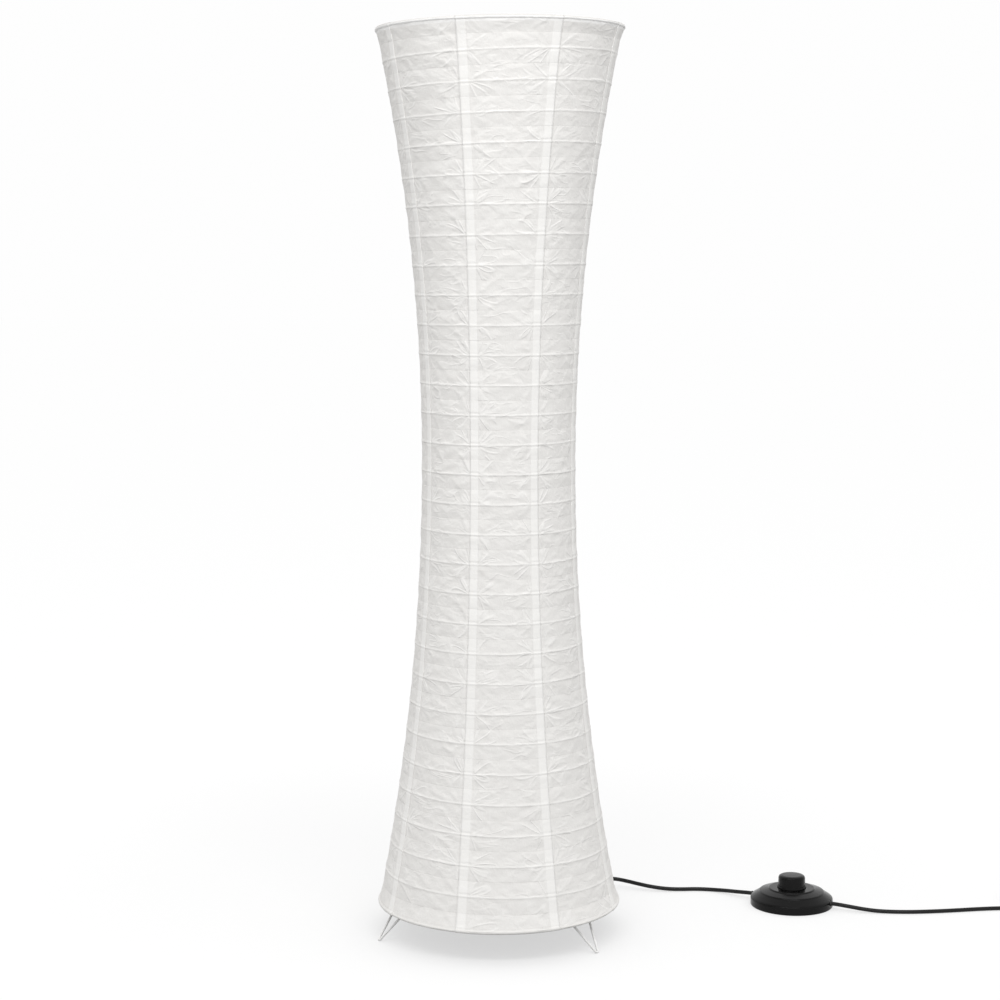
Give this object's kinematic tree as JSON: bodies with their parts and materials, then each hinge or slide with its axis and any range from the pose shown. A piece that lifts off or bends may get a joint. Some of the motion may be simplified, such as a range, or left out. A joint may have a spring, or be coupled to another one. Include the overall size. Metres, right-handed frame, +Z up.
{
  "type": "paper lantern floor lamp",
  "caption": "Tall hourglass paper lantern floor lamp on three V-shaped wire legs, with ribbed paper gores, an inner lampholder and a round foot switch in its lead.",
  "frame": {"origin": "on the floor, under the axis of the shade", "axes": "+Z up along the lamp's axis; -Y is the front; the mains lead leaves towards +X"},
  "size_m": [0.9586, 0.401, 1.172],
  "materials": {
    "white_wire": "satin powder coat",
    "nickel": "satin",
    "white_plastic": "semi-gloss",
    "insulator": "matt",
    "brass": "bright",
    "opal": "satin",
    "paper": "matt, crumpled",
    "bamboo": "matt",
    "papered_wire": "matt, wrapped in paper",
    "black_plastic": "satin",
    "black_rubber": "satin",
    "lead_sheath": "satin",
    "spring_steel": "bright"
  },
  "bodies": {
    "stand": {"base_ring": "white_wire", "leg_left": "white_wire", "leg_right": "white_wire", "leg_rear": "white_wire", "stand_spokes": "white_wire", "rod_sockets": "white_wire", "hub_plate": "white_wire", "holder_nipple": "nickel", "nipple_nut": "nickel", "cord_grip": "white_plastic", "holder_cap": "white_plastic", "holder_insert": "insulator", "screw_shell": "brass", "centre_contact": "brass", "terminal_screws": "brass", "holder_skirt": "white_plastic", "switch_base": "black_plastic", "switch_cover": "black_plastic", "switch_screws": "nickel", "switch_cartridge": "black_plastic", "switch_terminals": "brass", "switch_clamps": "black_plastic", "switch_grommets": "black_rubber", "button_spring": "spring_steel", "lead_to_switch": "lead_sheath", "lead_to_coil": "lead_sheath", "lead_coil": "lead_sheath", "lead_to_plug": "lead_sheath", "coil_tie": "black_rubber", "plug_relief": "black_rubber", "plug_body": "black_plastic", "plug_pins": "nickel"},
    "shade": {"paper_gore_1": "paper", "paper_gore_2": "paper", "paper_gore_3": "paper", "paper_gore_4": "paper", "paper_gore_5": "paper", "paper_gore_6": "paper", "paper_gore_7": "paper", "paper_gore_8": "paper", "shade_hoops": "bamboo", "top_rim": "papered_wire", "bottom_rim": "papered_wire", "lower_rods": "white_wire", "upper_rods": "white_wire", "rod_sleeves": "nickel", "top_sockets": "white_wire", "spreader_arms": "white_wire", "spreader_hub": "white_wire"},
    "bulb": {"bulb_tip": "nickel", "bulb_cap": "nickel", "bulb_housing": "white_plastic", "bulb_diffuser": "opal"},
    "button": {"cartridge_plunger": "white_plastic", "switch_button": "black_plastic"}
  },
  "joints": [
    {"name": "shade_lift", "type": "slide", "parent": "stand", "child": "shade", "axis": [0, 0, 1], "range_m": [0, 0.2]},
    {"name": "bulb_lift", "type": "slide", "parent": "stand", "child": "bulb", "axis": [0, 0, 1], "range_m": [0, 0.034]},
    {"name": "button_press", "type": "slide", "parent": "stand", "child": "button", "axis": [0, 0, -1], "range_m": [0, 0.004], "stiffness_N_per_m": 800, "springref_m": -0.002, "deforming": ["button_spring"]}
  ]
}
